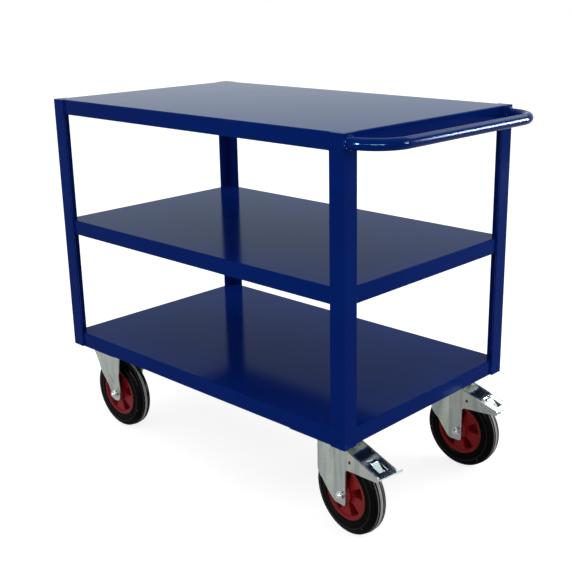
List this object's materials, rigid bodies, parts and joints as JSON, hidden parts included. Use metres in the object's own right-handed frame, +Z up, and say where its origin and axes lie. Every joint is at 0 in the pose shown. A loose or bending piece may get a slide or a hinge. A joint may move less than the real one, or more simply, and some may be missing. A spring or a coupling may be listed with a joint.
{
  "type": "shelf trolley",
  "caption": "Steel table trolley: angle posts carry folded sheet trays, with a bent tube push handle, fixed castors in front and braked swivel castors below the handle.",
  "frame": {"origin": "on the floor, under the middle of the trolley's overall box, handle included", "axes": "+X along the trolley towards the handle, +Y across it, +Z up"},
  "size_m": [1.1102, 0.61, 0.9265],
  "materials": {
    "blue_paint": "gloss royal blue powder coat",
    "zinc_plate": "bright zinc plate over pressed steel",
    "bearing_steel": "ground steel",
    "black_rubber": "moulded rubber",
    "red_plastic": "satin moulded plastic",
    "bearing_plastic": "satin moulded plastic"
  },
  "bodies": {
    "frame": {"top_shelf": "blue_paint", "middle_shelf": "blue_paint", "bottom_shelf": "blue_paint", "post_front_left": "blue_paint", "post_front_right": "blue_paint", "post_handle_left": "blue_paint", "post_handle_right": "blue_paint", "channel_front": "blue_paint", "channel_handle": "blue_paint", "handle": "blue_paint", "weld_nuts": "zinc_plate", "spring_washers": "zinc_plate", "castor_screws": "zinc_plate", "fixed_left_bracket": "zinc_plate", "fixed_left_axle_bolt": "zinc_plate", "fixed_left_axle_nut": "zinc_plate", "fixed_left_axle_sleeve": "bearing_steel", "fixed_right_bracket": "zinc_plate", "fixed_right_axle_bolt": "zinc_plate", "fixed_right_axle_nut": "zinc_plate", "fixed_right_axle_sleeve": "bearing_steel", "swivel_left_plate": "zinc_plate", "swivel_left_king_pin": "zinc_plate", "swivel_left_race_balls": "bearing_steel", "swivel_right_plate": "zinc_plate", "swivel_right_king_pin": "zinc_plate", "swivel_right_race_balls": "bearing_steel"},
    "fixed_left_wheel": {"fixed_left_rollers": "bearing_steel", "fixed_left_roller_cage": "bearing_plastic", "fixed_left_wheel_centre": "red_plastic", "fixed_left_tyre": "black_rubber"},
    "fixed_right_wheel": {"fixed_right_rollers": "bearing_steel", "fixed_right_roller_cage": "bearing_plastic", "fixed_right_wheel_centre": "red_plastic", "fixed_right_tyre": "black_rubber"},
    "swivel_left_fork": {"swivel_left_fork": "zinc_plate", "swivel_left_pedal_pin": "zinc_plate", "swivel_left_axle_bolt": "zinc_plate", "swivel_left_axle_nut": "zinc_plate", "swivel_left_axle_sleeve": "bearing_steel"},
    "swivel_left_pedal": {"swivel_left_brake_pedal": "zinc_plate", "swivel_left_brake_shoe": "zinc_plate", "swivel_left_brake_spring": "zinc_plate"},
    "swivel_left_wheel": {"swivel_left_rollers": "bearing_steel", "swivel_left_roller_cage": "bearing_plastic", "swivel_left_wheel_centre": "red_plastic", "swivel_left_tyre": "black_rubber"},
    "swivel_right_fork": {"swivel_right_fork": "zinc_plate", "swivel_right_pedal_pin": "zinc_plate", "swivel_right_axle_bolt": "zinc_plate", "swivel_right_axle_nut": "zinc_plate", "swivel_right_axle_sleeve": "bearing_steel"},
    "swivel_right_pedal": {"swivel_right_brake_pedal": "zinc_plate", "swivel_right_brake_shoe": "zinc_plate", "swivel_right_brake_spring": "zinc_plate"},
    "swivel_right_wheel": {"swivel_right_rollers": "bearing_steel", "swivel_right_roller_cage": "bearing_plastic", "swivel_right_wheel_centre": "red_plastic", "swivel_right_tyre": "black_rubber"}
  },
  "joints": [
    {"name": "fixed_left_wheel_spin", "type": "hinge", "parent": "frame", "child": "fixed_left_wheel", "pos_m": [-0.4536, -0.22, 0.1015], "axis": [0, 1, 0], "continuous": true},
    {"name": "fixed_right_wheel_spin", "type": "hinge", "parent": "frame", "child": "fixed_right_wheel", "pos_m": [-0.4536, 0.22, 0.1015], "axis": [0, 1, 0], "continuous": true},
    {"name": "swivel_left_swivel", "type": "hinge", "parent": "frame", "child": "swivel_left_fork", "pos_m": [0.3564, -0.22, 0.2415], "axis": [0, 0, 1], "continuous": true},
    {"name": "swivel_left_wheel_spin", "type": "hinge", "parent": "swivel_left_fork", "child": "swivel_left_wheel", "pos_m": [0.40703, -0.22613, 0.1015], "axis": [0.1201, 0.9928, 0], "continuous": true},
    {"name": "swivel_left_brake", "type": "hinge", "parent": "swivel_left_fork", "child": "swivel_left_pedal", "pos_m": [0.40207, -0.22553, 0.2125], "axis": [0.1201, 0.9928, 0], "range_deg": [0, 6]},
    {"name": "swivel_right_swivel", "type": "hinge", "parent": "frame", "child": "swivel_right_fork", "pos_m": [0.3564, 0.22, 0.2415], "axis": [0, 0, 1], "continuous": true},
    {"name": "swivel_right_wheel_spin", "type": "hinge", "parent": "swivel_right_fork", "child": "swivel_right_wheel", "pos_m": [0.4074, 0.21982, 0.1015], "axis": [0.0035, 1, 0], "continuous": true},
    {"name": "swivel_right_brake", "type": "hinge", "parent": "swivel_right_fork", "child": "swivel_right_pedal", "pos_m": [0.4024, 0.21984, 0.2125], "axis": [0.0035, 1, 0], "range_deg": [0, 6]}
  ]
}
